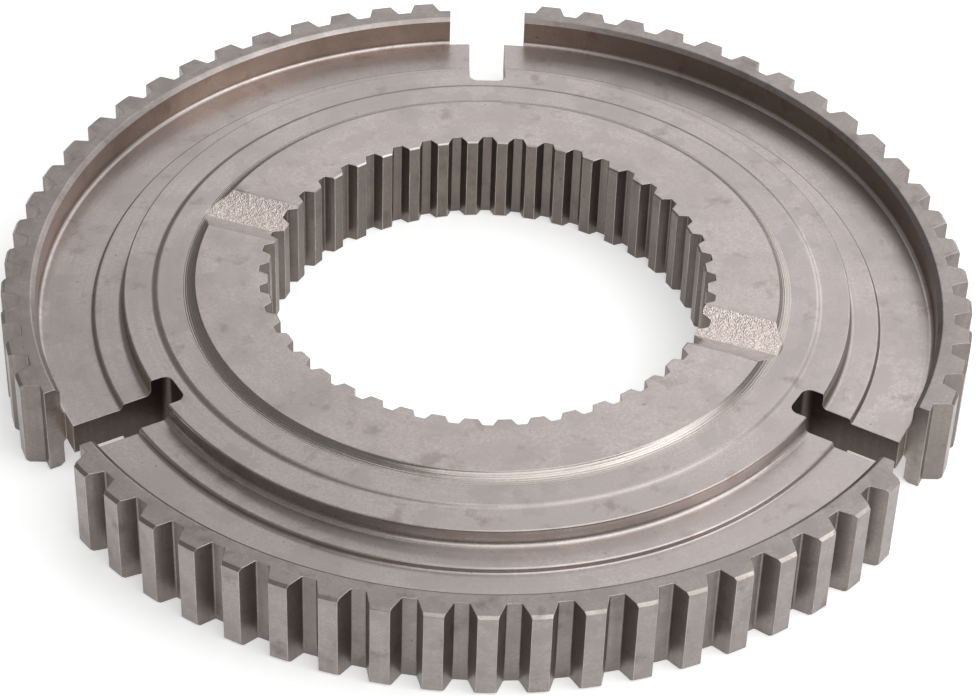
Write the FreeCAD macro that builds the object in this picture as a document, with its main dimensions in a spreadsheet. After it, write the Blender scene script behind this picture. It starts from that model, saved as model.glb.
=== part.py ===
import FreeCAD, Part

import os

import Sketcher

# Synchronizer hub of a truck gearbox: a turned and broached steel ring.
# The outer rim carries an external spline for the sliding sleeve, a thin web joins it to the hub,
# and the hub bore carries an internal spline for the main shaft.
# Three slots for the shifting plates cut the rim into three equal toothed arcs.
# The origin is on the bore axis, half way between the two faces.
# +Z is the bore axis, and one of the three slots lies on +Y.

NODE = "synchronizer_hub"

# name, value in millimetres (angles in degrees, counts as plain numbers), what it is
SIZES = [
    ("face_width", 19.5, "height over both faces, the same at rim and hub"),
    ("tip_radius", 96.0, "tip circle of the outer teeth"),
    ("tooth_depth", 3.6, "depth of the outer tooth spaces"),
    ("tooth_pitches", 63, "tooth pitches round the rim, slots included"),
    ("space_root_width", 2.75, "tooth space, width at the root"),
    ("space_tip_width", 6.0, "tooth space, width at the tip circle"),
    ("bevel_radial", 0.65, "bevel on the tooth ends, inwards from the tip circle"),
    ("bevel_axial", 0.55, "bevel on the tooth ends, down from the face"),
    ("rim_wall", 3.2, "rim, from its inner wall to the root circle"),
    ("rim_chamfer_radial", 1.1, "chamfer at the mouth of the recess, across the face"),
    ("rim_chamfer_axial", 0.85, "chamfer at the mouth of the recess, down the wall"),
    ("rim_foot_ease", 0.8, "45 degree easing between rim wall and web"),
    ("web_thickness", 6.7, "thinnest part of the web, next to the rim"),
    ("land_rise", 1.1, "height of the land over the web, on each side"),
    ("land_width", 6.1, "width of the land, from its edge to the shoulder"),
    ("shoulder_rise", 3.55, "height of the shoulder over the land, on each side"),
    ("shoulder_width", 6.5, "width of the shoulder, from its edge to the pad"),
    ("shoulder_foot_ease", 0.9, "45 degree easing at the foot of the shoulder"),
    ("pad_rise", 0.4, "height of the pad over the shoulder, on each side"),
    ("pad_slope", 0.55, "run of the slope from the pad's edge down to the shoulder"),
    ("pad_width", 7.5, "width of the pad, from its edge to the hub's end face"),
    ("hub_face_radius", 58.2, "outer edge of the hub's end face"),
    ("hub_sweep_radius", 2.3, "hollow sweep from the pad up to the hub's end face"),
    ("spline_tip_radius", 43.45, "tip circle of the inner teeth"),
    ("spline_depth", 1.95, "depth of the inner tooth spaces"),
    ("spline_teeth", 44, "inner teeth"),
    ("spline_root_width", 1.9, "inner tooth space, width at the root"),
    ("spline_tip_width", 3.95, "inner tooth space, width at the tip circle"),
    ("slot_count", 3, "slots for the shifting plates"),
    ("slot_width", 7.65, "width of each slot through the web"),
    ("slot_floor", 68.2, "distance from the axis to the floor of each slot"),
    ("slot_corner_radius", 1.8, "fillet in the two inner corners of each slot"),
    ("gap_width", 16.4, "width of the gap through the rim at each slot"),
    ("gap_undercut", 0.7, "how far each gap cuts into the web past the rim's inner wall"),
    ("scoop_angle", 160.4, "direction of the two oil scoops, from +X"),
    ("scoop_depth", 1.4, "depth of the scoops below the hub's end face"),
    ("scoop_radius", 15.0, "radius of the cutter that made the scoops"),
    ("scoop_overrun", 2.4, "how far each scoop runs out past the hub's end face"),
    ("run_out", 2.0, "how far a cutting outline runs past the part"),
]

# What follows from the sizes: name, formula, what it is
DERIVED = [
    ("root_radius", "tip_radius - tooth_depth", "root circle of the outer teeth"),
    ("rim_inner_radius", "root_radius - rim_wall", "inner wall of the rim"),
    ("gap_inner_radius", "rim_inner_radius - gap_undercut", "web's outer edge in each gap"),
    ("pad_radius", "hub_face_radius + pad_width", "edge of the pad"),
    ("shoulder_radius", "pad_radius + shoulder_width", "edge of the shoulder"),
    ("land_radius", "shoulder_radius + land_width", "edge of the land"),
    ("spline_root_radius", "spline_tip_radius + spline_depth", "root circle of the inner teeth"),
    ("scoop_reach", "hub_face_radius + scoop_overrun", "outer end of each scoop, from the axis"),
]

doc = FreeCAD.newDocument(NODE)


def make_sheet():
    """Write every size and formula to the sheet and give its cell an alias."""
    sheet = doc.addObject("Spreadsheet::Sheet", "Sizes")
    cells = [(name, str(value), note) for name, value, note in SIZES]
    cells += [(name, f"={formula}", note) for name, formula, note in DERIVED]
    for row, (name, content, note) in enumerate(cells, start=1):
        sheet.set(f"A{row}", content)
        sheet.set(f"B{row}", note)
        sheet.setAlias(f"A{row}", name)
    doc.recompute()
    return sheet


sheet = make_sheet()
body = doc.addObject("PartDesign::Body", NODE)
body.Label = NODE


def size(name):
    """The present value of one size, as a plain number."""
    return float(sheet.get(name))


def origin_feature(role):
    """The plane or axis of the body's own origin with this role."""
    return next(item for item in body.Origin.OriginFeatures if item.Role == role)


def new_sketch(name, role):
    """An empty sketch on one of the body's origin planes."""
    sketch = body.newObject("Sketcher::SketchObject", name)
    sketch.AttachmentSupport = [(origin_feature(role), "")]
    sketch.MapMode = "FlatFace"
    doc.recompute()
    return sketch


def bind(sketch, kind, references, name, formula, value):
    """Add a dimension to the sketch and tie it to a formula of the sheet's sizes."""
    index = sketch.addConstraint(Sketcher.Constraint(kind, *references, value))
    sketch.renameConstraint(index, name)
    sketch.setExpression(f"Constraints.{name}", formula)


def join_ends(sketch, first, second):
    """Make the end of one curve and the start of the next the same point."""
    sketch.addConstraint(Sketcher.Constraint("Coincident", *first, *second))


def polyline(sketch, points, closed=True):
    """Lines from point to point, joined end to end. Returns their numbers."""
    ends = points[1:] + points[:1] if closed else points[1:]
    lines = []
    for start, end in zip(points, ends):
        segment = Part.LineSegment(FreeCAD.Vector(*start, 0), FreeCAD.Vector(*end, 0))
        lines.append(sketch.addGeometry(segment))
    for line, following in zip(lines, lines[1:]):
        join_ends(sketch, (line, 2), (following, 1))
    if closed:
        join_ends(sketch, (lines[-1], 2), (lines[0], 1))
    return lines


def turned_section():
    """Half section of the turned blank, above the middle plane: X is the radius, Y the height.

    Walks from the bore over the hub's end face, down the pad, shoulder and land to the web,
    up the rim's inner wall and over its end face to the tip circle.
    """
    sketch = new_sketch("turned_section", "XZ_Plane")
    top = "Sizes.face_width / 2"
    web = "Sizes.web_thickness / 2"
    land = f"{web} + Sizes.land_rise"
    shoulder = f"{land} + Sizes.shoulder_rise"
    pad = f"{shoulder} + Sizes.pad_rise"

    top_z = size("face_width") / 2
    web_z = size("web_thickness") / 2
    land_z = web_z + size("land_rise")
    shoulder_z = land_z + size("shoulder_rise")
    pad_z = shoulder_z + size("pad_rise")

    sweep = size("hub_sweep_radius")
    sweep_drop = top_z - pad_z
    sweep_run = (sweep ** 2 - (sweep - sweep_drop) ** 2) ** 0.5
    sweep_foot = size("hub_face_radius") + sweep_run

    outer = [
        ("pad_edge", "Sizes.pad_radius", pad, size("pad_radius"), pad_z),
        ("pad_foot", "Sizes.pad_radius + Sizes.pad_slope", shoulder,
         size("pad_radius") + size("pad_slope"), shoulder_z),
        ("shoulder_edge", "Sizes.shoulder_radius", shoulder, size("shoulder_radius"), shoulder_z),
        ("shoulder_foot", "Sizes.shoulder_radius", land, size("shoulder_radius"), land_z),
        ("land_edge", "Sizes.land_radius", land, size("land_radius"), land_z),
        ("land_foot", "Sizes.land_radius", web, size("land_radius"), web_z),
        ("rim_foot", "Sizes.rim_inner_radius", web, size("rim_inner_radius"), web_z),
        ("chamfer_foot", "Sizes.rim_inner_radius", f"{top} - Sizes.rim_chamfer_axial",
         size("rim_inner_radius"), top_z - size("rim_chamfer_axial")),
        ("chamfer_edge", "Sizes.rim_inner_radius + Sizes.rim_chamfer_radial", top,
         size("rim_inner_radius") + size("rim_chamfer_radial"), top_z),
        ("bevel_edge", "Sizes.tip_radius - Sizes.bevel_radial", top,
         size("tip_radius") - size("bevel_radial"), top_z),
        ("bevel_foot", "Sizes.tip_radius", f"{top} - Sizes.bevel_axial",
         size("tip_radius"), top_z - size("bevel_axial")),
    ]
    inner = [
        ("bore_edge", "Sizes.spline_tip_radius", top, size("spline_tip_radius"), top_z),
        ("hub_edge", "Sizes.hub_face_radius", top, size("hub_face_radius"), top_z),
    ]

    points = [(sweep_foot, pad_z)]
    points += [(radius, height) for _, _, _, radius, height in outer]
    points += [(size("tip_radius"), 0.0), (size("spline_tip_radius"), 0.0)]
    points += [(radius, height) for _, _, _, radius, height in inner]
    lines = polyline(sketch, points, closed=False)

    centre = FreeCAD.Vector(sweep_foot, pad_z + sweep, 0)
    circle = Part.Circle(centre, FreeCAD.Vector(0, 0, 1), sweep)
    hub_edge = FreeCAD.Vector(size("hub_face_radius"), top_z, 0)
    start = circle.parameter(hub_edge)
    end = circle.parameter(FreeCAD.Vector(sweep_foot, pad_z, 0))
    arc = sketch.addGeometry(Part.ArcOfCircle(circle, start, end))
    join_ends(sketch, (lines[-1], 2), (arc, 1))
    sketch.addConstraint(Sketcher.Constraint("Tangent", arc, 2, lines[0], 1))
    sketch.addConstraint(Sketcher.Constraint("Horizontal", lines[0]))
    bind(sketch, "Radius", (arc,), "hub_sweep", "Sizes.hub_sweep_radius", sweep)

    def place(line, corner):
        name, across, up, radius, height = corner
        bind(sketch, "DistanceX", (-1, 1, line, 2), f"{name}_x", across, radius)
        bind(sketch, "DistanceY", (-1, 1, line, 2), f"{name}_y", up, height)

    for line, corner in zip(lines, outer):
        place(line, corner)
    for line, corner in zip(lines[-len(inner):], inner):
        place(line, corner)
    rim_side = lines[len(outer)]
    middle = lines[len(outer) + 1]
    sketch.addConstraint(Sketcher.Constraint("Vertical", rim_side))
    sketch.addConstraint(Sketcher.Constraint("PointOnObject", rim_side, 2, -1))
    sketch.addConstraint(Sketcher.Constraint("Horizontal", middle))
    sketch.addConstraint(Sketcher.Constraint("Vertical", lines[-len(inner)]))
    return sketch


def ring_edges(radius, height):
    """Names of the whole circular edges at this radius, at this height on either side."""
    names = []
    for number, edge in enumerate(body.Tip.Shape.Edges, start=1):
        curve = edge.Curve
        if not isinstance(curve, Part.Circle):
            continue
        same_radius = abs(curve.Radius - radius) < 1e-4
        same_height = abs(abs(curve.Center.z) - height) < 1e-4
        if same_radius and same_height:
            names.append(f"Edge{number}")
    return names


def ease_rings(name, radius, height, alias):
    """Ease the inner corner that runs round at this radius, at this height on either side."""
    edges = ring_edges(radius, height)
    ease = body.newObject("PartDesign::Chamfer", name)
    ease.Base = (ease.BaseFeature, edges)
    ease.setExpression("Size", f"Sizes.{alias}")
    doc.recompute()


def turned_blank():
    """Revolve the half section, mirror it and ease two of its inner corners."""
    section = turned_section()
    half = body.newObject("PartDesign::Revolution", "turned_half")
    half.Profile = section
    half.ReferenceAxis = (section, ["V_Axis"])
    half.Angle = 360
    doc.recompute()
    whole = body.newObject("PartDesign::Mirrored", "turned_blank")
    whole.Originals = [half]
    whole.MirrorPlane = (origin_feature("XY_Plane"), [""])
    body.Tip = whole
    doc.recompute()

    web_z = size("web_thickness") / 2
    land_z = web_z + size("land_rise")
    ease_rings("rim_foot", size("rim_inner_radius"), web_z, "rim_foot_ease")
    ease_rings("shoulder_foot", size("shoulder_radius"), land_z, "shoulder_foot_ease")


def tooth_space_sketch(name, root, tip, root_width, tip_width):
    """One tooth space, symmetric about +Y: a root line and two flanks that run out past the tips."""
    sketch = new_sketch(name, "XY_Plane")
    root_y = size(root)
    tip_y = size(tip)
    side = "+" if tip_y > root_y else "-"
    free_y = tip_y + size("run_out") * (1 if tip_y > root_y else -1)
    free_end = f"Sizes.{tip} {side} Sizes.run_out"
    opening = (size(tip_width) - size(root_width)) / abs(tip_y - root_y)
    free_width = size(tip_width) + opening * size("run_out")
    free_formula = (f"Sizes.{tip_width} + (Sizes.{tip_width} - Sizes.{root_width}) * Sizes.run_out"
                    f" / abs(Sizes.{tip} - Sizes.{root})")
    half_root = size(root_width) / 2
    half_free = free_width / 2
    points = [(-half_root, root_y), (half_root, root_y), (half_free, free_y), (-half_free, free_y)]
    lines = polyline(sketch, points)
    for line in (lines[0], lines[2]):
        sketch.addConstraint(Sketcher.Constraint("Symmetric", line, 1, line, 2, -2))
    bind(sketch, "DistanceX", (lines[0], 1, lines[0], 2), "root_width",
         f"Sizes.{root_width}", 2 * half_root)
    bind(sketch, "DistanceX", (lines[2], 2, lines[2], 1), "free_width", free_formula, free_width)
    bind(sketch, "DistanceY", (-1, 1, lines[0], 2), "root", f"Sizes.{root}", root_y)
    bind(sketch, "DistanceY", (-1, 1, lines[2], 1), "free_end", free_end, free_y)
    return sketch


def round_corner(sketch, line, name, alias):
    """Round the corner at the end of a line, with a radius from the sheet."""
    before = sketch.GeometryCount
    sketch.fillet(line, 2, size(alias), True, True)
    arc = next(i for i in range(before, sketch.GeometryCount)
               if isinstance(sketch.Geometry[i], Part.ArcOfCircle))
    bind(sketch, "Radius", (arc,), name, f"Sizes.{alias}", size(alias))


def cut_through(name, sketch):
    """Cut the sketch through the whole part, both ways from the middle plane."""
    pocket = body.newObject("PartDesign::Pocket", name)
    pocket.Profile = sketch
    pocket.SideType = "Symmetric"
    pocket.Type = "Length"
    pocket.setExpression("Length", "Sizes.face_width + 2 * Sizes.run_out")
    doc.recompute()
    return pocket


def repeat_round(name, feature, alias):
    """Repeat a cut round the bore axis."""
    pattern = body.newObject("PartDesign::PolarPattern", name)
    pattern.Originals = [feature]
    pattern.Axis = (origin_feature("Z_Axis"), [""])
    pattern.Angle = 360
    pattern.setExpression("Occurrences", f"Sizes.{alias}")
    body.Tip = pattern
    doc.recompute()
    return pattern


def outer_teeth():
    """External spline: one space on +Y, repeated at every pitch."""
    sketch = tooth_space_sketch("tooth_space", "root_radius", "tip_radius",
                                "space_root_width", "space_tip_width")
    space = cut_through("first_tooth_space", sketch)
    repeat_round("outer_teeth", space, "tooth_pitches")


def inner_teeth():
    """Internal spline: one space on +Y, repeated at every pitch."""
    sketch = tooth_space_sketch("spline_space", "spline_root_radius", "spline_tip_radius",
                                "spline_root_width", "spline_tip_width")
    space = cut_through("first_spline_space", sketch)
    repeat_round("inner_teeth", space, "spline_teeth")


def slot_sketch():
    """Outline of one slot: a narrow round-cornered slot in the web and a wide gap in the rim."""
    sketch = new_sketch("slot_outline", "XY_Plane")
    floor = size("slot_floor")
    half_slot = size("slot_width") / 2
    half_gap = size("gap_width") / 2
    gap_radius = size("gap_inner_radius")
    free_y = size("tip_radius") + size("run_out")
    slot_y = (gap_radius ** 2 - half_slot ** 2) ** 0.5
    gap_y = (gap_radius ** 2 - half_gap ** 2) ** 0.5

    narrow = polyline(sketch, [(-half_slot, slot_y), (-half_slot, floor), (half_slot, floor),
                               (half_slot, slot_y)], closed=False)
    wide = polyline(sketch, [(half_gap, gap_y), (half_gap, free_y), (-half_gap, free_y),
                             (-half_gap, gap_y)], closed=False)
    ring = Part.Circle(FreeCAD.Vector(0, 0, 0), FreeCAD.Vector(0, 0, 1), gap_radius)
    arcs = []
    for start, end in (((half_gap, gap_y), (half_slot, slot_y)),
                       ((-half_slot, slot_y), (-half_gap, gap_y))):
        from_angle = ring.parameter(FreeCAD.Vector(*start, 0))
        to_angle = ring.parameter(FreeCAD.Vector(*end, 0))
        arcs.append(sketch.addGeometry(Part.ArcOfCircle(ring, from_angle, to_angle)))
    right, left = arcs
    for arc in arcs:
        sketch.addConstraint(Sketcher.Constraint("Coincident", arc, 3, -1, 1))
    sketch.addConstraint(Sketcher.Constraint("Equal", right, left))
    join_ends(sketch, (narrow[2], 2), (right, 2))
    join_ends(sketch, (right, 1), (wide[0], 1))
    join_ends(sketch, (wide[2], 2), (left, 2))
    join_ends(sketch, (left, 1), (narrow[0], 1))

    for line in (narrow[0], narrow[2], wide[0], wide[2]):
        sketch.addConstraint(Sketcher.Constraint("Vertical", line))
    for line in (narrow[1], wide[1]):
        sketch.addConstraint(Sketcher.Constraint("Symmetric", line, 1, line, 2, -2))
    bind(sketch, "DistanceX", (narrow[1], 1, narrow[1], 2), "slot_width",
         "Sizes.slot_width", 2 * half_slot)
    bind(sketch, "DistanceX", (wide[1], 2, wide[1], 1), "gap_width", "Sizes.gap_width", 2 * half_gap)
    bind(sketch, "DistanceY", (-1, 1, narrow[1], 1), "slot_floor", "Sizes.slot_floor", floor)
    bind(sketch, "DistanceY", (-1, 1, wide[1], 1), "free_end",
         "Sizes.tip_radius + Sizes.run_out", free_y)
    bind(sketch, "Radius", (right,), "gap_radius", "Sizes.gap_inner_radius", gap_radius)
    round_corner(sketch, narrow[0], "left_corner", "slot_corner_radius")
    round_corner(sketch, narrow[1], "right_corner", "slot_corner_radius")
    return sketch


def shifting_plate_slots():
    """Three equal slots, the first on +Y."""
    slot = cut_through("first_slot", slot_sketch())
    repeat_round("slots", slot, "slot_count")


def oil_scoops():
    """One shallow round-bottomed pass across the hub's upper end face, cut by the bore into two."""
    sketch = new_sketch("scoop_section", "YZ_Plane")
    turn = FreeCAD.Rotation(FreeCAD.Vector(0, 1, 0), size("scoop_angle"))
    sketch.AttachmentOffset = FreeCAD.Placement(FreeCAD.Vector(0, 0, 0), turn)
    sketch.setExpression(".AttachmentOffset.Rotation.Angle", "Sizes.scoop_angle * 1 deg")
    radius = size("scoop_radius")
    height = size("face_width") / 2 - size("scoop_depth") + radius
    centre = FreeCAD.Vector(0, height, 0)
    cutter = sketch.addGeometry(Part.Circle(centre, FreeCAD.Vector(0, 0, 1), radius))
    sketch.addConstraint(Sketcher.Constraint("PointOnObject", cutter, 3, -2))
    bind(sketch, "DistanceY", (-1, 1, cutter, 3), "cutter_height",
         "Sizes.face_width / 2 - Sizes.scoop_depth + Sizes.scoop_radius", height)
    bind(sketch, "Radius", (cutter,), "cutter_radius", "Sizes.scoop_radius", radius)
    doc.recompute()

    scoops = body.newObject("PartDesign::Pocket", "oil_scoops")
    scoops.Profile = sketch
    scoops.SideType = "Symmetric"
    scoops.Type = "Length"
    scoops.setExpression("Length", "2 * Sizes.scoop_reach")
    doc.recompute()


def expect_cut(step):
    """Run one cutting step and make sure that it takes material away."""
    before = body.Shape.Volume
    step()
    if not body.Shape.Volume < before - 1.0:
        raise RuntimeError(f"{step.__name__} cut nothing")


def check_model():
    """Stop if any feature failed, a sketch can still move or the solid isn't whole."""
    for item in doc.Objects:
        if "Invalid" in item.State or "Error" in item.State:
            raise RuntimeError(f"{item.Name} failed: {item.State}")
        if item.TypeId == "Sketcher::SketchObject" and not item.FullyConstrained:
            raise RuntimeError(f"{item.Name} isn't fully constrained")
    shape = body.Shape
    if shape.isNull() or not shape.isValid() or len(shape.Solids) != 1:
        raise RuntimeError("the hub isn't one valid solid")


def main():
    turned_blank()
    for step in (outer_teeth, inner_teeth, shifting_plate_slots, oil_scoops):
        expect_cut(step)
    body.Placement = FreeCAD.Placement()
    doc.recompute()
    check_model()
    os.makedirs("parts", exist_ok=True)
    body.Shape.exportStep(f"parts/{body.Label}.step")
    box = body.Shape.optimalBoundingBox()
    print("volume mm3", round(body.Shape.Volume, 1), "faces", len(body.Shape.Faces))
    print("box mm", round(box.XLength, 3), round(box.YLength, 3), round(box.ZLength, 3))


main()
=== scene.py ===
import math

import bmesh
import bpy
from bpy.props import FloatProperty, FloatVectorProperty, IntProperty, PointerProperty
from mathutils import Matrix, Vector


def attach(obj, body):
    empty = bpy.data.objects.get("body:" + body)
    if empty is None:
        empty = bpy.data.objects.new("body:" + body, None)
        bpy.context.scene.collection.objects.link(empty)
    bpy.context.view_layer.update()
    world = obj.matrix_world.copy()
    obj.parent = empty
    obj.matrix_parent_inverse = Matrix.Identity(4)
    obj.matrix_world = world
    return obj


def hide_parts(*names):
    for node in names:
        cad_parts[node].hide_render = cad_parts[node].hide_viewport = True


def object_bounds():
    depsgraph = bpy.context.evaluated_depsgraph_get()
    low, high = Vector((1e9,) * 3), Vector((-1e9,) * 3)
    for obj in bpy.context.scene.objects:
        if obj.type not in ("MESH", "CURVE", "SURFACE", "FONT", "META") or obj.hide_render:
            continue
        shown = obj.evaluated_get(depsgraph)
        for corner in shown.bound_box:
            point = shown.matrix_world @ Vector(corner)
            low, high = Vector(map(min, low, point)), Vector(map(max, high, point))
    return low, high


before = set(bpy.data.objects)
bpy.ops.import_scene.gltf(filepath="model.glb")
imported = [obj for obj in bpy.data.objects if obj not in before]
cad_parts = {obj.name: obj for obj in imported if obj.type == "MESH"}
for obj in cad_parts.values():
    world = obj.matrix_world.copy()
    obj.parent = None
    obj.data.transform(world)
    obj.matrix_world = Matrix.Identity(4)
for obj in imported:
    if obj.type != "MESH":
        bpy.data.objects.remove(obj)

# Synchronizer hub of a truck gearbox: turned, broached and splined steel.
# Every size is in metres. The origin is on the bore axis, half way between the two faces.
# +Z is the bore axis, and one of the three slots lies on +Y.

bl_info = {
    "name": "Synchronizer Hub",
    "version": (1, 0, 0),
    "blender": (4, 5, 0),
    "location": "3D View > Sidebar > Hub",
    "description": "Builds a splined synchronizer hub with turned steel finishes",
    "category": "Add Mesh",
}

NODE = "synchronizer_hub"
CAD_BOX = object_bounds()

FINISHES = ("turned_face", "ground_face", "turned_wall", "rim_face", "rim_wall", "tooth_tip",
            "tooth_flank", "bore_tooth", "shaded_slot_wall", "gap_wall", "lit_grainy_scoop", "shaded_scoop_side",
            "tooth_bevel")
(TURNED_FACE, GROUND_FACE, TURNED_WALL, RIM_FACE, RIM_WALL, TOOTH_TIP, TOOTH_FLANK, BORE_TOOTH,
 SHADED_SLOT_WALL, GAP_WALL, LIT_GRAINY_SCOOP, SHADED_SCOOP_SIDE, TOOTH_BEVEL) = range(len(FINISHES))

# Two lengths under this are taken as equal. The cutters run this far past the part.
SMALL = 0.00002
OVERSHOOT = 0.002

# Steps in the fillets of the turned section, the tooth spaces and the slots, in the hub's sweep,
# and round the scoops' cutter.
SECTION_STEPS = 6
SPACE_STEPS = 5
SLOT_STEPS = 8
SWEEP_STEPS = 8
SCOOP_SIDES = 96

# Edges that turn by more than this stay sharp.
SHARP_ANGLE = math.radians(32)

# Turning marks: their pitch, and how much of it a rise along Z counts, on walls and on the sweep.
FEED_PITCH = 0.0004
WALL_CLIMB = 1.37
SWEEP_CLIMB = 0.2

# Strength of the even room, and of the glow that keeps the floor pale where it is seen.
WORLD_STRENGTH = 0.22
FLOOR_GLOW = 0.46
FLOOR_HALF = 4.0

# The point that the camera looks at, before it turns round the axis.
LOOK_AT = (0.000562, -0.000150, -0.00972)

# Softboxes: name, place, width, height, power in watts. All look at the hub.
LAMPS = (
    ("top_lamp", (0.28, 0.16, 1.06), 1.2, 0.9, 3.6),
    ("front_top_lamp", (0.26, -0.56, 0.96), 1.3, 0.6, 3.7),
    ("front_right_lamp", (0.96, -0.22, 0.80), 0.7, 0.8, 3.3),
    ("right_lamp", (1.10, -0.46, 0.34), 0.6, 0.6, 1.3),
    ("front_lamp", (0.45, -1.15, 1.00), 0.9, 0.7, 1.8),
    ("back_lamp", (0.26, 1.32, 0.83), 1.3, 0.9, 3.5),
    ("back_right_lamp", (1.00, 1.05, 0.70), 0.9, 1.0, 2.8),
)


def length(name, description, default):
    """A length property, in metres."""
    return FloatProperty(name=name, description=description, default=default, min=0.0,
                         precision=5, unit="LENGTH")


def colour(name, description, default):
    """A colour property."""
    return FloatVectorProperty(name=name, description=description, default=default, size=3,
                               min=0.0, max=1.0, subtype="COLOR")


class HubSizes(bpy.types.PropertyGroup):
    """Sizes of the turned blank, its teeth, slots and scoops."""

    face_width: length("Face width", "Height over both faces", 0.0195)
    tip_radius: length("Tip radius", "Tip circle of the outer teeth", 0.096)
    tooth_depth: length("Tooth depth", "Depth of the outer tooth spaces", 0.0036)
    tooth_pitches: IntProperty(name="Tooth pitches", description="Pitches round the rim",
                               default=63, min=12)
    space_root: length("Space at root", "Outer tooth space, width at the root", 0.00275)
    space_tip: length("Space at tip", "Outer tooth space, width at the tip circle", 0.006)
    space_corner: length("Root corner", "Fillet in the corners of each outer space", 0.0004)
    bevel_radial: length("Tooth bevel, radial", "Bevel on the tooth ends, inwards", 0.00065)
    bevel_axial: length("Tooth bevel, axial", "Bevel on the tooth ends, down", 0.00055)
    rim_wall: length("Rim wall", "Inner wall of the rim to the root circle", 0.0032)
    chamfer_radial: length("Rim chamfer, radial", "Chamfer of the recess, across", 0.00098)
    chamfer_axial: length("Rim chamfer, axial", "Chamfer of the recess, down", 0.0008)
    chamfer_round: length("Rim chamfer rounding", "Rounding over the chamfer", 0.00055)
    rim_fillet: length("Rim fillet", "Fillet between rim wall and web", 0.001)
    web_thickness: length("Web thickness", "Thinnest part of the web", 0.0067)
    land_rise: length("Land rise", "Height of the land over the web", 0.0011)
    land_width: length("Land width", "Width of the land", 0.0061)
    land_round: length("Land rounding", "Rounding of the land's edge", 0.00055)
    land_fillet: length("Land fillet", "Fillet at the foot of the land", 0.00045)
    shoulder_rise: length("Shoulder rise", "Height of the shoulder over the land", 0.00355)
    shoulder_width: length("Shoulder width", "Width of the shoulder", 0.0066)
    shoulder_round: length("Shoulder rounding", "Rounding of the shoulder's edge", 0.00038)
    shoulder_fillet: length("Shoulder fillet", "Fillet at the foot of the shoulder", 0.0011)
    pad_rise: length("Pad rise", "Height of the pad over the shoulder", 0.0004)
    pad_width: length("Pad width", "Width of the pad", 0.0076)
    pad_slope: length("Pad slope", "Run of the slope down to the shoulder", 0.00075)
    hub_face_radius: length("Hub face radius", "Outer edge of the hub's end face", 0.0580)
    hub_sweep: length("Hub sweep", "Hollow sweep from pad to end face", 0.0030)
    hub_round: length("Hub rounding", "Rounding of the hub's end face", 0.0004)
    edge_break: length("Edge break", "Rounding of the other turned edges", 0.0002)
    spline_tip_radius: length("Bore tip radius", "Tip circle of the inner teeth", 0.04345)
    spline_depth: length("Bore tooth depth", "Depth of the inner tooth spaces", 0.00195)
    spline_teeth: IntProperty(name="Bore teeth", description="Inner teeth", default=44, min=6)
    spline_root: length("Bore space at root", "Inner tooth space, width at the root", 0.0019)
    spline_tip: length("Bore space at tip", "Inner tooth space, width at the tip", 0.00395)
    spline_corner: length("Bore root corner", "Fillet in the corners of each inner space", 0.0003)
    lead_in: length("Lead-in", "Chamfer at both ends of the bore", 0.0003)
    slot_count: IntProperty(name="Slots", description="Slots for the shifting plates",
                            default=3, min=1)
    slot_width: length("Slot width", "Width of each slot through the web", 0.00765)
    slot_floor: length("Slot floor", "Axis to the floor of each slot", 0.0682)
    slot_corner: length("Slot corner", "Fillet in the inner corners of each slot", 0.0018)
    gap_width: length("Gap width", "Width of the gap through the rim", 0.0164)
    gap_undercut: length("Gap undercut", "How far each gap cuts into the web", 0.0007)
    scoop_angle: FloatProperty(name="Scoop direction", description="Direction of the oil scoops",
                               default=math.radians(160.4), subtype="ANGLE")
    scoop_depth: length("Scoop depth", "Depth of the scoops below the end face", 0.00155)
    scoop_radius: length("Scoop radius", "Radius of the cutter of the scoops", 0.0136)
    scoop_overrun: length("Scoop overrun", "How far the scoops pass the end face", 0.0029)
    round_segments: IntProperty(name="Segments", description="Segments round the axis",
                                default=378, min=63)


class HubFinish(bpy.types.PropertyGroup):
    """Colours of the steel on each kind of surface. The slot walls hold painted shade, the scoops
    painted light and shade, and the edge colour a painted highlight as well as wear.
    """

    face_colour: colour("Turned faces", "Steel of the turned faces", (0.535, 0.479, 0.462))
    ground_colour: colour("Ground faces", "Steel of the hub's end faces", (0.555, 0.495, 0.475))
    wall_colour: colour("Turned walls", "Steel of the hub's walls", (0.54, 0.482, 0.452))
    rim_colour: colour("Rim faces", "Steel of the rim's end faces", (0.385, 0.343, 0.327))
    rim_wall_colour: colour("Rim wall", "Steel of the rim's inner wall", (0.42, 0.335, 0.285))
    tip_colour: colour("Tooth tips", "Steel of the tooth tips", (0.36, 0.325, 0.308))
    flank_colour: colour("Tooth flanks", "Steel of the flanks and roots", (0.28, 0.245, 0.225))
    bore_colour: colour("Bore teeth", "Steel of the inner teeth", (0.20, 0.168, 0.150))
    # The slot walls are painted near black: painted shade deep in the slots, over the real broach
    # strokes.
    slot_shade_colour: colour("Slot walls", "Steel of the slots", (0.15, 0.122, 0.107))
    gap_colour: colour("Gap walls", "Steel of the rim's ends at the gaps", (0.34, 0.30, 0.275))
    # The scoops' two slopes have a lit and a shaded copy of one finish: one slope and the floor
    # are painted near-white over their real grain, the slope that faces away from the camera and
    # lamps is painted grey.
    lit_grainy_scoop_colour: colour("Oil scoops", "Steel of the rough scoops", (1.0, 0.87, 0.82))
    shaded_scoop_side_colour: colour("Scoop sides", "Steel of the scoops' smooth side",
                              (0.61, 0.545, 0.52))
    bevel_colour: colour("Tooth bevels", "Steel of the worn tooth bevels", (0.45, 0.40, 0.37))
    # Bright colour along every edge, convex and concave: partly real wear and burrs, partly a
    # painted highlight.
    edge_wear_and_highlight_colour: colour("Worn edges", "Bright steel along the edges", (0.78, 0.73, 0.70))


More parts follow.
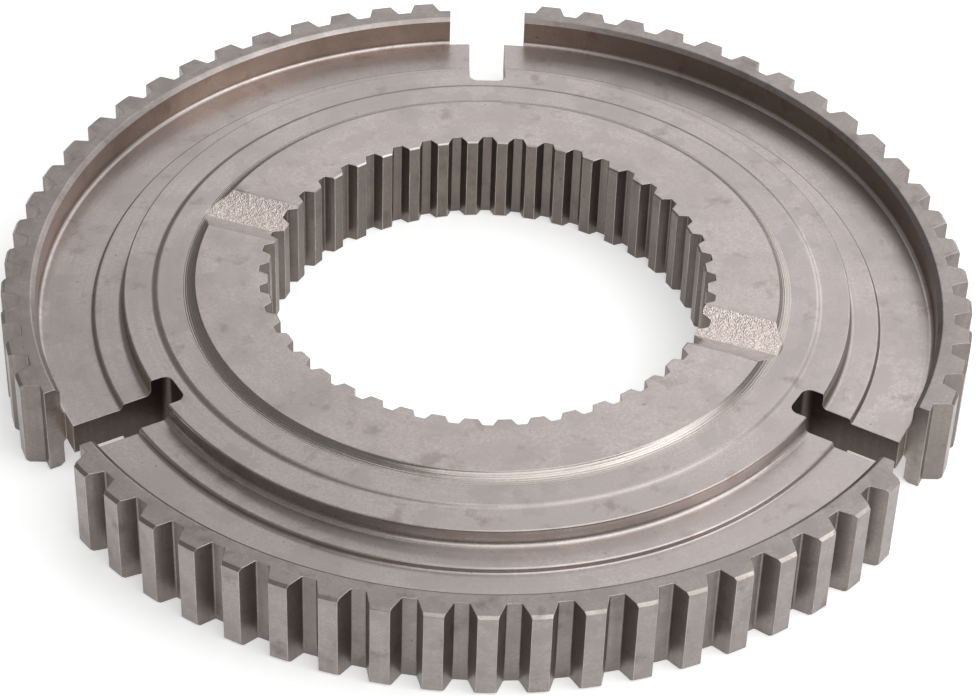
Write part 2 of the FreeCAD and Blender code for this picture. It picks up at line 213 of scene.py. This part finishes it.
class StageSetup(bpy.types.PropertyGroup):
    """Camera, floor and lamps."""

    lens: FloatProperty(name="Lens", description="Focal length on a 36 mm wide sensor",
                        default=112.39, min=10.0)
    distance: length("Camera distance", "Camera to the point that it looks at", 0.61804)
    elevation: FloatProperty(name="Elevation", description="Camera angle over the floor",
                             default=math.radians(40.379), subtype="ANGLE")
    azimuth: FloatProperty(name="Azimuth", description="Camera angle round the axis, from -Y",
                           default=math.radians(-1.389), subtype="ANGLE")
    roll: FloatProperty(name="Roll", description="Turn of the camera about its own axis",
                        default=math.radians(2.065), subtype="ANGLE")
    floor_colour: colour("Floor", "Colour of the floor", (0.86, 0.86, 0.86))


def half_section(s):
    """Half section of the turned blank, middle plane upwards: (radius, height, fillet) corners."""
    top = s.face_width / 2
    web = s.web_thickness / 2
    land = web + s.land_rise
    shoulder = land + s.shoulder_rise
    pad = shoulder + s.pad_rise
    pad_radius = s.hub_face_radius + s.pad_width
    shoulder_radius = pad_radius + s.shoulder_width
    land_radius = shoulder_radius + s.land_width
    rim_radius = s.tip_radius - s.tooth_depth - s.rim_wall

    drop = top - pad
    run = math.sqrt(s.hub_sweep ** 2 - (s.hub_sweep - drop) ** 2)
    sweep = []
    opening = math.asin(run / s.hub_sweep)
    for step in range(1, SWEEP_STEPS + 1):
        turn = opening * (1 - step / SWEEP_STEPS)
        sweep.append((s.hub_face_radius + run - s.hub_sweep * math.sin(turn),
                      pad + s.hub_sweep * (1 - math.cos(turn)), 0.0))
    edge = s.edge_break
    return [
        (s.spline_tip_radius, 0.0, 0.0),
        (s.spline_tip_radius, top - s.lead_in, 0.0),
        (s.spline_tip_radius + s.lead_in, top, 0.0),
        (s.hub_face_radius, top, s.hub_round),
        *sweep,
        (pad_radius, pad, 2 * s.pad_slope),
        (pad_radius + s.pad_slope, shoulder, 2 * s.pad_slope),
        (shoulder_radius, shoulder, s.shoulder_round),
        (shoulder_radius, land, s.shoulder_fillet),
        (land_radius, land, s.land_round),
        (land_radius, web, s.land_fillet),
        (rim_radius, web, s.rim_fillet),
        (rim_radius, top - s.chamfer_axial, edge),
        (rim_radius + s.chamfer_radial, top, s.chamfer_round),
        (s.tip_radius - s.bevel_radial, top, edge / 2),
        (s.tip_radius, top - s.bevel_axial, edge / 2),
        (s.tip_radius, 0.0, 0.0),
    ]


def round_corners(corners, steps, closed=False):
    """Points along the corners, each corner with a fillet radius replaced by an arc."""
    points = []
    count = len(corners)
    for index, (x, y, radius) in enumerate(corners):
        at_end = not closed and index in (0, count - 1)
        if radius <= 0.0 or at_end:
            points.append((x, y))
            continue
        corner = Vector((x, y))
        back = (Vector(corners[index - 1][:2]) - corner).normalized()
        ahead = (Vector(corners[(index + 1) % count][:2]) - corner).normalized()
        half = back.angle(ahead) / 2
        reach = radius / math.tan(half)
        centre = corner + (back + ahead).normalized() * (radius / math.sin(half))
        start = corner + back * reach - centre
        end = corner + ahead * reach - centre
        sweep = start.angle_signed(end)
        for step in range(steps + 1):
            arm = start.copy()
            arm.rotate(Matrix.Rotation(-sweep * step / steps, 2))
            points.append(tuple(centre + arm))
    return points


def full_section(s):
    """Closed section of the turned blank, the same on both sides of the middle plane."""
    upper = round_corners(half_section(s), SECTION_STEPS)
    lower = [(radius, -height) for radius, height in reversed(upper[1:-1])]
    return upper + lower


def new_object(name, vertices, faces):
    """A mesh object in the scene."""
    mesh = bpy.data.meshes.new(name)
    mesh.from_pydata(vertices, [], faces)
    piece = bpy.data.objects.new(name, mesh)
    bpy.context.scene.collection.objects.link(piece)
    return piece


def turn_blank(name, section, segments):
    """Turn a closed section round the Z axis."""
    count = len(section)
    vertices = []
    for segment in range(segments):
        angle = math.tau * segment / segments
        vertices += [(r * math.cos(angle), r * math.sin(angle), z) for r, z in section]
    faces = []
    for segment in range(segments):
        here = segment * count
        there = (segment + 1) % segments * count
        for point in range(count):
            after = (point + 1) % count
            faces.append((here + point, here + after, there + after, there + point))
    return new_object(name, vertices, faces)


def prisms(name, outline, angles, reach):
    """Upright prisms of one outline, drawn round +Y and repeated at the given angles."""
    count = len(outline)
    vertices = []
    faces = []
    for angle in angles:
        turn = Matrix.Rotation(angle, 3, "Z")
        base = len(vertices)
        for height in (-reach, reach):
            vertices += [tuple(turn @ Vector((x, y, height))) for x, y in outline]
        faces.append(tuple(base + point for point in reversed(range(count))))
        faces.append(tuple(base + count + point for point in range(count)))
        for point in range(count):
            after = (point + 1) % count
            faces.append((base + point, base + after, base + count + after, base + count + point))
    cutter = new_object(name, vertices, faces)
    return tidy_normals(cutter)


def tidy_normals(piece):
    """Turn every face outwards."""
    shape = bmesh.new()
    shape.from_mesh(piece.data)
    bmesh.ops.recalc_face_normals(shape, faces=shape.faces)
    shape.to_mesh(piece.data)
    shape.free()
    return piece


def cut_away(piece, cutter):
    """Take the cutter's volume from the piece, and remove the cutter."""
    modifier = piece.modifiers.new("cut", "BOOLEAN")
    modifier.operation = "DIFFERENCE"
    modifier.solver = "EXACT"
    modifier.object = cutter
    bpy.context.view_layer.update()
    evaluated = piece.evaluated_get(bpy.context.evaluated_depsgraph_get())
    result = bpy.data.meshes.new_from_object(evaluated)
    piece.modifiers.clear()
    before = piece.data
    piece.data = result
    result.name = piece.name
    bpy.data.meshes.remove(before)
    waste = cutter.data
    bpy.data.objects.remove(cutter)
    bpy.data.meshes.remove(waste)


def space_outline(root, tip, root_width, tip_width, corner):
    """One tooth space round +Y: rounded root corners, flanks that run out past the tips."""
    out = 1.0 if tip > root else -1.0
    free = tip + out * OVERSHOOT
    free_width = tip_width + (tip_width - root_width) * OVERSHOOT / abs(tip - root)
    corners = [(-root_width / 2, root, corner), (root_width / 2, root, corner),
               (free_width / 2, free, 0.0), (-free_width / 2, free, 0.0)]
    return round_corners(corners, SPACE_STEPS, closed=True)


def slot_outlines(s):
    """The narrow slot through the web and the wide gap through the rim, round +Y."""
    rim_radius = s.tip_radius - s.tooth_depth - s.rim_wall
    gap_radius = rim_radius - s.gap_undercut
    free = s.tip_radius + OVERSHOOT
    half = s.slot_width / 2
    side = s.gap_width / 2
    narrow_out = math.asin(half / gap_radius)
    wide_out = math.asin(side / gap_radius)
    arc = [wide_out + (narrow_out - wide_out) * step / SLOT_STEPS
           for step in range(SLOT_STEPS + 1)]
    right = [(gap_radius * math.sin(a), gap_radius * math.cos(a), 0.0) for a in arc]
    left = [(-x, y, 0.0) for x, y, _ in reversed(right)]
    corners = [(-half, s.slot_floor, s.slot_corner), (half, s.slot_floor, s.slot_corner)]
    corners += list(reversed(right)) + [(side, free, 0.0), (-side, free, 0.0)]
    corners += list(reversed(left))
    return round_corners(corners, SLOT_STEPS, closed=True)


def scoop_cutter(s):
    """A long round bar with eased ends, across the hub's upper end face."""
    reach = s.hub_face_radius + s.scoop_overrun
    height = s.face_width / 2 - s.scoop_depth + s.scoop_radius
    count = SCOOP_SIDES
    ease = s.scoop_depth / 2
    turn = Matrix.Rotation(s.scoop_angle, 3, "Z")
    stations = [(ease - reach - ease * math.cos(a), s.scoop_radius - ease * (1 - math.sin(a)))
                for a in (0.0, 0.5, 1.0, math.pi / 2)]
    stations += [(-end, radius) for end, radius in reversed(stations)]
    vertices = []
    for end, radius in stations:
        for i in range(count):
            y = radius * math.cos(math.tau * i / count)
            z = radius * math.sin(math.tau * i / count) + height
            vertices.append(tuple(turn @ Vector((end, y, z))))
    last = len(vertices) - count
    faces = [tuple(reversed(range(count))), tuple(last + i for i in range(count))]
    for start in range(0, last, count):
        faces += [(start + i, start + (i + 1) % count, start + count + (i + 1) % count,
                   start + count + i) for i in range(count)]
    return tidy_normals(new_object("scoop_cutter", vertices, faces))


def finish_of(face, s):
    """Which finish a face has, by where it lies and which way it looks."""
    centre = face.calc_center_median()
    radius = math.hypot(centre.x, centre.y)
    upright = abs(face.normal.z)

    across = Vector((-math.sin(s.scoop_angle), math.cos(s.scoop_angle), 0.0)).dot(centre)
    half_scoop = math.sqrt(s.scoop_radius ** 2 - (s.scoop_radius - s.scoop_depth) ** 2)
    pad = s.web_thickness / 2 + s.land_rise + s.shoulder_rise + s.pad_rise
    in_scoop = (abs(across) < half_scoop and centre.z < s.face_width / 2 - SMALL
                and centre.z > pad - s.pad_rise - SMALL
                and s.spline_tip_radius < radius < s.hub_face_radius + s.scoop_overrun + SMALL)
    # A scoop's own faces don't lean along it. Past the sweep, only its eased ends are left.
    if in_scoop and upright > 0.6 and (upright < 1.0 - 1e-6 or centre.z < pad - SMALL):
        along = Vector((math.cos(s.scoop_angle), math.sin(s.scoop_angle), 0.0))
        if abs(face.normal.dot(along)) < 0.02 or radius > s.hub_face_radius + s.hub_sweep:
            # The slope that faces away from the camera and lamps takes the shaded copy, the rest
            # the lit, grainy copy: painted light and shade.
            return LIT_GRAINY_SCOOP if across < 0.25 * half_scoop else SHADED_SCOOP_SIDE
    if radius < s.spline_tip_radius + s.spline_depth + SMALL and upright < 0.5:
        return BORE_TOOTH
    root = s.tip_radius - s.tooth_depth
    for slot in range(s.slot_count):
        angle = math.pi / 2 + math.tau * slot / s.slot_count
        along = Vector((math.cos(angle), math.sin(angle), 0.0))
        beside = abs(along.x * centre.y - along.y * centre.x)
        if along.dot(centre) < s.slot_floor - SMALL or upright > 0.5:
            continue
        if beside < s.slot_width / 2 + SMALL:
            return SHADED_SLOT_WALL
        if abs(beside - s.gap_width / 2) < SMALL and radius > root - s.rim_wall - 0.001:
            return GAP_WALL
    if radius > root - SMALL and upright < 0.5:
        return TOOTH_TIP if radius > s.tip_radius - 0.0001 else TOOTH_FLANK
    if radius > s.tip_radius - s.bevel_radial and 0.5 < upright < 0.95:
        return TOOTH_BEVEL
    if radius > root - s.rim_wall - SMALL and upright > 0.5:
        return RIM_FACE
    if radius > root - s.rim_wall - s.rim_fillet and upright < 0.5:
        return RIM_WALL
    if radius < s.hub_face_radius + s.hub_sweep and upright > 0.999:
        return GROUND_FACE
    if s.hub_face_radius - s.hub_round < radius < s.hub_face_radius + s.hub_sweep:
        return TURNED_WALL
    return TURNED_WALL if upright < 0.5 else TURNED_FACE


def shade_by_angle(piece, angle):
    """Smooth shading, with every edge over this angle kept sharp."""
    mesh = piece.data
    shape = bmesh.new()
    shape.from_mesh(mesh)
    bmesh.ops.remove_doubles(shape, verts=shape.verts, dist=1e-7)
    bmesh.ops.dissolve_degenerate(shape, dist=1e-7, edges=shape.edges)
    for edge in shape.edges:
        edge.smooth = len(edge.link_faces) == 2 and edge.calc_face_angle() < angle
    for face in shape.faces:
        face.smooth = True
    shape.to_mesh(mesh)
    shape.free()
    weights = piece.modifiers.new("normals", "WEIGHTED_NORMAL")
    weights.keep_sharp = True
    weights.weight = 100


def wire(tree, kind, sockets=None, **settings):
    """A node with its settings, its socket values and its links."""
    node = tree.nodes.new(kind)
    for name, value in settings.items():
        setattr(node, name, value)
    for key, value in (sockets or {}).items():
        socket = node.inputs[key]
        if isinstance(value, bpy.types.NodeSocket):
            tree.links.new(value, socket)
        else:
            socket.default_value = value
    return node


def maths(tree, operation, first, second=0.0):
    """Output of one sum."""
    return wire(tree, "ShaderNodeMath", {0: first, 1: second}, operation=operation).outputs[0]


def between(tree, value, low, high, to_low, to_high):
    """A value taken from one range to another, and held at its ends."""
    node = wire(tree, "ShaderNodeMapRange", {"Value": value, "From Min": low, "From Max": high,
                                             "To Min": to_low, "To Max": to_high})
    return node.outputs["Result"]


def noise(tree, vector, scale, detail=3.0, rough=0.5):
    """Noise from 0 to 1 over a vector."""
    node = wire(tree, "ShaderNodeTexNoise", {"Vector": vector, "Scale": scale, "Detail": detail,
                                             "Roughness": rough})
    return node.outputs["Fac"]


def shade(colour_value, factor):
    """A colour made lighter or darker."""
    return tuple(min(1.0, part * factor) for part in colour_value) + (1.0,)


def blend_colours(tree, factor, first, second):
    """Mix of two colours."""
    node = tree.nodes.new("ShaderNodeMix")
    node.data_type = "RGBA"
    for socket, value in ((node.inputs[0], factor), (node.inputs[6], first),
                          (node.inputs[7], second)):
        if isinstance(value, bpy.types.NodeSocket):
            tree.links.new(value, socket)
        else:
            socket.default_value = value
    return node.outputs[2]


def ring_vector(tree, spacing, drift, climb=WALL_CLIMB):
    """Coordinates in which noise makes fine rings round the Z axis, on faces and on walls."""
    place = wire(tree, "ShaderNodeTexCoord").outputs["Object"]
    split = wire(tree, "ShaderNodeSeparateXYZ", {0: place})
    flat = wire(tree, "ShaderNodeCombineXYZ", {"X": split.outputs["X"], "Y": split.outputs["Y"]})
    radius = wire(tree, "ShaderNodeVectorMath", {0: flat.outputs[0]}, operation="LENGTH")
    side = wire(tree, "ShaderNodeVectorMath", {0: flat.outputs[0]}, operation="NORMALIZE")
    around = wire(tree, "ShaderNodeSeparateXYZ", {0: side.outputs[0]})
    rise = maths(tree, "MULTIPLY", split.outputs["Z"], climb)
    rings = maths(tree, "DIVIDE", maths(tree, "ADD", radius.outputs["Value"], rise), spacing)
    vector = wire(tree, "ShaderNodeCombineXYZ", {
        "X": maths(tree, "MULTIPLY", around.outputs["X"], drift),
        "Y": maths(tree, "MULTIPLY", around.outputs["Y"], drift),
        "Z": rings})
    return vector.outputs[0]


def stroke_vector(tree, spacing, reach):
    """Coordinates in which noise makes strokes that run along the Z axis."""
    place = wire(tree, "ShaderNodeTexCoord").outputs["Object"]
    factors = (1 / spacing, 1 / spacing, 1 / reach)
    return wire(tree, "ShaderNodeVectorMath", {0: place, 1: factors},
                operation="MULTIPLY").outputs[0]


def wear_and_highlight_edge_mask(tree, soft_normal, broken):
    """1 along an edge, where the soft normal leaves the true one, and broken up by noise."""
    true_normal = wire(tree, "ShaderNodeNewGeometry").outputs["Normal"]
    agree = wire(tree, "ShaderNodeVectorMath", {0: soft_normal, 1: true_normal},
                 operation="DOT_PRODUCT").outputs["Value"]
    near = between(tree, agree, 0.99, 0.90, 0.0, 1.0)
    return maths(tree, "MULTIPLY", near, between(tree, broken, 0.36, 0.56, 0.25, 1.0))


def feed_marks(tree, pitch, climb):
    """Evenly spaced turning marks round the Z axis, from 0 to 1, that waver and fade in places."""
    place = wire(tree, "ShaderNodeTexCoord").outputs["Object"]
    rings = ring_vector(tree, pitch, 1.0, climb)
    path = wire(tree, "ShaderNodeSeparateXYZ", {0: rings}).outputs["Z"]
    waver = maths(tree, "MULTIPLY", noise(tree, place, 20.0, 2.0), 1.0)
    wave = maths(tree, "SINE", maths(tree, "MULTIPLY", maths(tree, "ADD", path, waver), math.tau))
    strength = between(tree, noise(tree, place, 55.0, 2.0), 0.35, 0.6, 0.25, 0.5)
    return maths(tree, "ADD", maths(tree, "MULTIPLY", wave, strength), 0.5)


def steel(name, colour_value, edge_wear_and_highlight_colour, roughness, marks, depth, stain, wear_and_highlight=0.5,
          anisotropy=0.0, edge=0.00022, spots=42.0):
    """Bare steel with tool marks, stains, edges brightened by wear and by a painted highlight, and
    a slightly uneven polish.
    """
    material = bpy.data.materials.new(name)
    material.use_nodes = True
    tree = material.node_tree
    shader = tree.nodes["Principled BSDF"]
    shader.inputs["Metallic"].default_value = 1.0
    place = wire(tree, "ShaderNodeTexCoord").outputs["Object"]

    # Shades of the broad marks, shade of the fine marks, and how much of these shows.
    dark, light, line, share = 0.96, 1.03, 0.86, 0.45
    if marks == "rings":
        fine = noise(tree, ring_vector(tree, 0.00034, 2.6), 1.0, 2.0)
        broad = noise(tree, ring_vector(tree, 0.0021, 1.4), 1.0, 2.0)
    elif marks in ("feed", "sweep"):
        fine = feed_marks(tree, FEED_PITCH, SWEEP_CLIMB if marks == "sweep" else WALL_CLIMB)
        broad = noise(tree, ring_vector(tree, 0.0012, 2.0), 1.0, 2.0)
        line, share = 0.80, 0.5
    elif marks == "strokes":
        fine = noise(tree, stroke_vector(tree, 0.00030, 0.010), 1.0, 2.0)
        broad = noise(tree, stroke_vector(tree, 0.0012, 0.03), 1.0, 2.0)
        dark, light, line = 0.88, 1.12, 0.82
    elif marks == "ground":
        fine = noise(tree, place, 1500.0, 2.0, 0.6)
        broad = noise(tree, ring_vector(tree, 0.0016, 2.0), 1.0, 2.0)
        line = 0.92
    else:
        fine = noise(tree, place, 3600.0, 1.0, 0.5)
        broad = noise(tree, place, 900.0, 2.0)
        dark, light, line, share = 0.94, 1.06, 0.42, 0.7
    patch = noise(tree, place, spots, 5.0, 0.58)
    spot = noise(tree, place, 105.0, 5.0, 0.62)
    grain = noise(tree, place, 1900.0, 2.0, 0.6)
    blotch = noise(tree, place, 150.0, 5.0, 0.65)
    speck = noise(tree, place, 1000.0, 3.0, 0.6)

    tone = blend_colours(tree, between(tree, broad, 0.3, 0.7, 0.0, 1.0),
                         shade(colour_value, dark), shade(colour_value, light))
    tone = blend_colours(tree, between(tree, patch, 0.46, 0.60, 0.0, 0.6 * stain), tone,
                         shade(colour_value, 0.66))
    tone = blend_colours(tree, between(tree, spot, 0.535, 0.58, 0.0, 0.9 * stain), tone,
                         shade(colour_value, 0.68))
    tone = blend_colours(tree, between(tree, grain, 0.40, 0.60, 0.0, 0.8), tone,
                         shade(colour_value, 0.82))
    tone = blend_colours(tree, between(tree, fine, 0.42, 0.64, 0.0, share), tone,
                         shade(colour_value, line))
    brown = (colour_value[0] * 0.55, colour_value[1] * 0.49, colour_value[2] * 0.45)
    tone = blend_colours(tree, between(tree, blotch, 0.58, 0.70, 0.0, stain), tone,
                         shade(brown, 1.0))
    tone = blend_colours(tree, between(tree, speck, 0.70, 0.76, 0.0, min(1.0, 1.6 * stain)), tone,
                         shade(colour_value, 0.32))
    soft = wire(tree, "ShaderNodeBevel", {"Radius": edge}, samples=6).outputs[0]
    # Along every edge, convex and concave, the colour turns to the bright edge colour: partly real
    # wear, partly a painted highlight.
    worn = maths(tree, "MULTIPLY", wear_and_highlight_edge_mask(tree, soft, blotch), wear_and_highlight)
    tone = blend_colours(tree, worn, tone, shade(edge_wear_and_highlight_colour, 1.0))
    tree.links.new(tone, shader.inputs["Base Color"])

    uneven = between(tree, patch, 0.35, 0.7, roughness * 0.9, roughness * 1.15)
    uneven = maths(tree, "ADD", uneven, between(tree, fine, 0.3, 0.7, -0.03, 0.03))
    tree.links.new(uneven, shader.inputs["Roughness"])

    height = maths(tree, "ADD", fine, maths(tree, "MULTIPLY", broad, 1.5))
    bump = wire(tree, "ShaderNodeBump", {"Strength": 1.0, "Distance": depth, "Height": height,
                                         "Normal": soft})
    tree.links.new(bump.outputs[0], shader.inputs["Normal"])
    if anisotropy:
        shader.inputs["Anisotropic"].default_value = anisotropy
        shader.inputs["Anisotropic Rotation"].default_value = 0.25
        tangent = wire(tree, "ShaderNodeTangent", direction_type="RADIAL", axis="Z")
        tree.links.new(tangent.outputs[0], shader.inputs["Tangent"])
    return material


class HUB_OT_body(bpy.types.Operator):
    """Turn the blank, cut its teeth, slots and scoops, and give each surface its finish"""

    bl_idname = "hub.body"
    bl_label = "Build hub"

    def execute(self, context):
        s = context.scene.hub_sizes
        finish = context.scene.hub_finish
        piece = turn_blank("hub_body", full_section(s), s.round_segments)
        tidy_normals(piece)
        reach = s.face_width

        thirds = [math.tau * slot / s.slot_count for slot in range(s.slot_count)]
        cut_away(piece, prisms("slot_cutter", slot_outlines(s), thirds, reach))

        pitch = math.tau / s.tooth_pitches
        outline = space_outline(s.tip_radius - s.tooth_depth, s.tip_radius, s.space_root,
                                s.space_tip, s.space_corner)
        turns = [pitch * tooth for tooth in range(s.tooth_pitches)]
        cut_away(piece, prisms("tooth_cutter", outline, turns, reach))

        pitch = math.tau / s.spline_teeth
        outline = space_outline(s.spline_tip_radius + s.spline_depth, s.spline_tip_radius,
                                s.spline_root, s.spline_tip, s.spline_corner)
        turns = [pitch * tooth for tooth in range(s.spline_teeth)]
        cut_away(piece, prisms("spline_cutter", outline, turns, reach))
        cut_away(piece, scoop_cutter(s))
        if len(piece.data.polygons) < 1000:
            raise RuntimeError("the hub's mesh is empty or broken")

        shade_by_angle(piece, SHARP_ANGLE)
        self.paint(piece, s, finish)
        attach(piece, "root")
        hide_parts(NODE)
        return {"FINISHED"}

    def paint(self, piece, s, finish):
        """Make the finishes and give each face its own."""
        edge = finish.edge_wear_and_highlight_colour
        # In the order of FINISHES: colour, edge colour, roughness, marks, depth, stain, and how
        # much the edges brighten, by wear and a painted highlight.
        makers = (
            steel("turned_face", finish.face_colour, edge, 0.34, "rings", 0.000009, 0.60, 0.25,
                  0.30),
            steel("ground_face", finish.ground_colour, edge, 0.36, "ground", 0.000008, 0.55, 0.8,
                  0.15, spots=90.0),
            steel("turned_wall", finish.wall_colour, edge, 0.30, "sweep", 0.000032, 0.35, 0.3,
                  0.25),
            steel("rim_face", finish.rim_colour, edge, 0.36, "ground", 0.000008, 0.65, 0.7,
                  spots=170.0),
            steel("rim_wall", finish.rim_wall_colour, edge, 0.34, "feed", 0.000012, 0.6, 0.3),
            steel("tooth_tip", finish.tip_colour, edge, 0.37, "ground", 0.000008, 0.7, 0.7,
                  spots=230.0),
            steel("tooth_flank", finish.flank_colour, edge, 0.36, "strokes", 0.000010, 0.6, 0.7,
                  spots=150.0),
            steel("bore_tooth", finish.bore_colour, edge, 0.34, "strokes", 0.000012, 0.5, 0.9,
                  spots=150.0),
            # Painted shade in the deep slots.
            steel("shaded_slot_wall", finish.slot_shade_colour, edge, 0.38, "strokes", 0.000012, 0.5, 0.5),
            steel("gap_wall", finish.gap_colour, edge, 0.38, "strokes", 0.000016, 0.6, 0.6),
            # Lit and shaded copies of the scoops' finish: painted light and shade over the real
            # grain.
            steel("lit_grainy_scoop", finish.lit_grainy_scoop_colour, edge, 0.50, "grains", 0.00018, 0.1, 0.0),
            steel("shaded_scoop_side", finish.shaded_scoop_side_colour, edge, 0.55, "ground", 0.00005, 0.3, 0.0,
                  edge=0.0014),
            steel("tooth_bevel", finish.bevel_colour, edge, 0.34, "ground", 0.000010, 1.0, 0.6,
                  spots=200.0),
        )
        for material in makers:
            piece.data.materials.append(material)
        shape = bmesh.new()
        shape.from_mesh(piece.data)
        for face in shape.faces:
            face.material_index = finish_of(face, s)
        shape.to_mesh(piece.data)
        shape.free()


def soft_lamp(name, place, target, width, height, power):
    """A rectangular softbox that looks at a point."""
    data = bpy.data.lights.new(name, "AREA")
    data.shape = "RECTANGLE"
    data.size = width
    data.size_y = height
    data.energy = power
    lamp = bpy.data.objects.new(name, data)
    lamp.location = place
    lamp.rotation_euler = (Vector(target) - Vector(place)).to_track_quat("-Z", "Y").to_euler()
    bpy.context.scene.collection.objects.link(lamp)
    return lamp


class HUB_OT_stage(bpy.types.Operator):
    """Place the floor, the soft lamps and the camera"""

    bl_idname = "hub.stage"
    bl_label = "Build stage"

    def execute(self, context):
        scene = context.scene
        stage = scene.hub_stage
        scene.view_settings.view_transform = "Standard"
        self.floor(scene)
        self.lamps(scene)
        self.camera(scene, stage)
        return {"FINISHED"}

    def floor(self, scene):
        """A pale floor just under the hub."""
        half = FLOOR_HALF
        level = CAD_BOX[0][2]
        corners = [(-half, -half, level), (half, -half, level), (half, half, level),
                   (-half, half, level)]
        floor = new_object("floor", corners, [(0, 1, 2, 3)])
        material = bpy.data.materials.new("floor")
        material.use_nodes = True
        tree = material.node_tree
        shader = tree.nodes["Principled BSDF"]
        shader.inputs["Base Color"].default_value = (*scene.hub_stage.floor_colour, 1.0)
        shader.inputs["Roughness"].default_value = 0.9
        shader.inputs["Specular IOR Level"].default_value = 0.1
        path = wire(tree, "ShaderNodeLightPath").outputs
        seen = maths(tree, "MAXIMUM", path["Is Camera Ray"], path["Is Glossy Ray"])
        seen = maths(tree, "MAXIMUM", seen, path["Is Transmission Ray"])
        shader.inputs["Emission Color"].default_value = (1.0, 1.0, 1.0, 1.0)
        glow = maths(tree, "MULTIPLY", seen, FLOOR_GLOW)
        tree.links.new(glow, shader.inputs["Emission Strength"])
        floor.data.materials.append(material)

    def lamps(self, scene):
        """Soft light from above, in front, behind and the right, and a dim even room."""
        world = bpy.data.worlds.new("room")
        world.use_nodes = True
        background = world.node_tree.nodes["Background"]
        background.inputs["Color"].default_value = (1.0, 0.99, 0.98, 1.0)
        background.inputs["Strength"].default_value = WORLD_STRENGTH
        scene.world = world
        for name, place, width, height, power in LAMPS:
            soft_lamp(name, place, (0, 0, 0), width, height, power)

    def camera(self, scene, stage):
        """The camera, at the photograph's own angle."""
        data = bpy.data.cameras.new("camera")
        data.sensor_fit = "HORIZONTAL"
        data.sensor_width = 36.0
        data.lens = stage.lens
        data.clip_start = 0.01
        back = Vector((0.0, -math.cos(stage.elevation), math.sin(stage.elevation)))
        right = Vector((1.0, 0.0, 0.0))
        up = back.cross(right)
        across = math.cos(stage.roll) * right + math.sin(stage.roll) * up
        upward = math.cos(stage.roll) * up - math.sin(stage.roll) * right
        eye = Vector(LOOK_AT) + back * stage.distance
        frame_axes = Matrix((across, upward, back)).transposed().to_4x4()
        turn = Matrix.Rotation(stage.azimuth, 4, "Z")
        camera = bpy.data.objects.new("camera", data)
        camera.matrix_world = turn @ Matrix.Translation(eye) @ frame_axes
        scene.collection.objects.link(camera)
        scene.camera = camera


class HUB_PT_panel(bpy.types.Panel):
    """Sizes, finishes and stage of the hub"""

    bl_idname = "HUB_PT_panel"
    bl_label = "Synchronizer Hub"
    bl_space_type = "VIEW_3D"
    bl_region_type = "UI"
    bl_category = "Hub"

    def draw(self, context):
        layout = self.layout
        groups = (("Sizes", context.scene.hub_sizes, HUB_OT_body),
                  ("Finishes", context.scene.hub_finish, None),
                  ("Stage", context.scene.hub_stage, HUB_OT_stage))
        for title, group, operator in groups:
            box = layout.box()
            box.label(text=title)
            for name in group.__annotations__:
                box.prop(group, name)
            if operator:
                box.operator(operator.bl_idname)


CLASSES = (HubSizes, HubFinish, StageSetup, HUB_OT_body, HUB_OT_stage, HUB_PT_panel)


def register():
    for item in CLASSES:
        bpy.utils.register_class(item)
    bpy.types.Scene.hub_sizes = PointerProperty(type=HubSizes)
    bpy.types.Scene.hub_finish = PointerProperty(type=HubFinish)
    bpy.types.Scene.hub_stage = PointerProperty(type=StageSetup)


def unregister():
    del bpy.types.Scene.hub_stage
    del bpy.types.Scene.hub_finish
    del bpy.types.Scene.hub_sizes
    for item in reversed(CLASSES):
        bpy.utils.unregister_class(item)


def main():
    register()
    bpy.ops.hub.body()
    bpy.ops.hub.stage()


if __name__ == "__main__":
    main()
